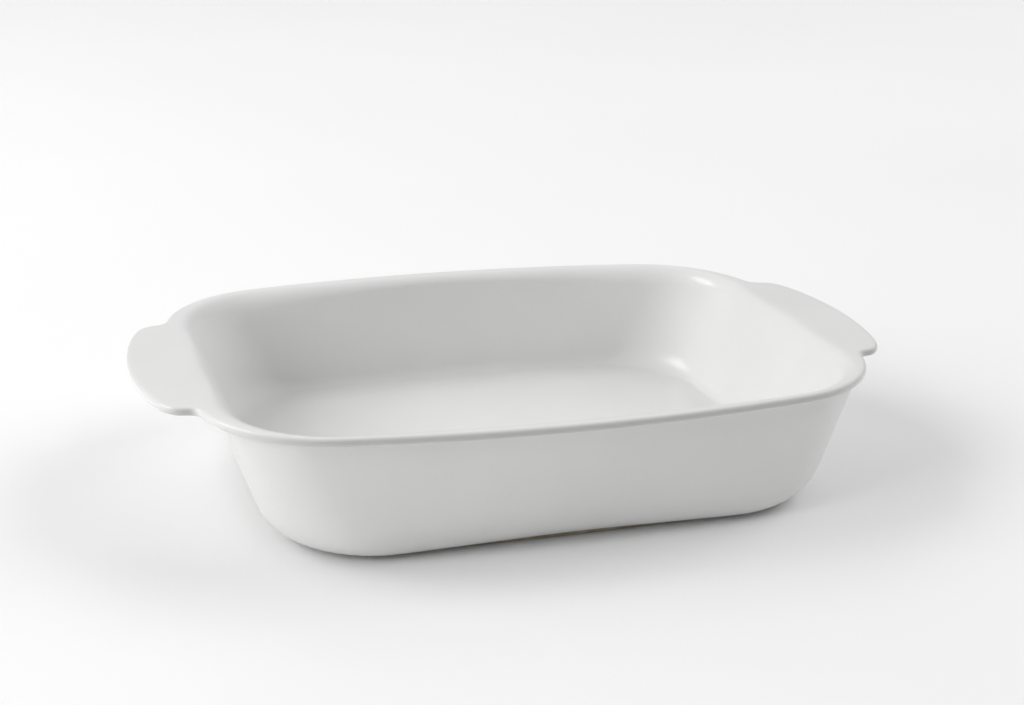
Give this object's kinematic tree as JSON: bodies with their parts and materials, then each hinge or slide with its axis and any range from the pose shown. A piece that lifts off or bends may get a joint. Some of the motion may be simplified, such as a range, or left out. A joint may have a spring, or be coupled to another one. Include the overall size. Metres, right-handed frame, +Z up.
{
  "type": "lasagna dish",
  "caption": "Rectangular stoneware baking dish with sloping walls, rounded corners, a flared lip and a flat tab handle at each end, standing on a bare foot ring.",
  "frame": {"origin": "on the surface that the dish stands on, under the middle of the dish", "axes": "+X along the dish's length to the right handle, +Y to the back long side, +Z up"},
  "size_m": [0.38, 0.25, 0.066],
  "materials": {
    "glaze": "glossy off-white glaze over stoneware",
    "bare_stoneware": "matt unglazed stoneware, slightly sandy"
  },
  "bodies": {
    "root": {"basin": "glaze", "rim": "glaze", "left_handle": "glaze", "right_handle": "glaze", "foot_ring": "bare_stoneware"}
  },
  "joints": []
}
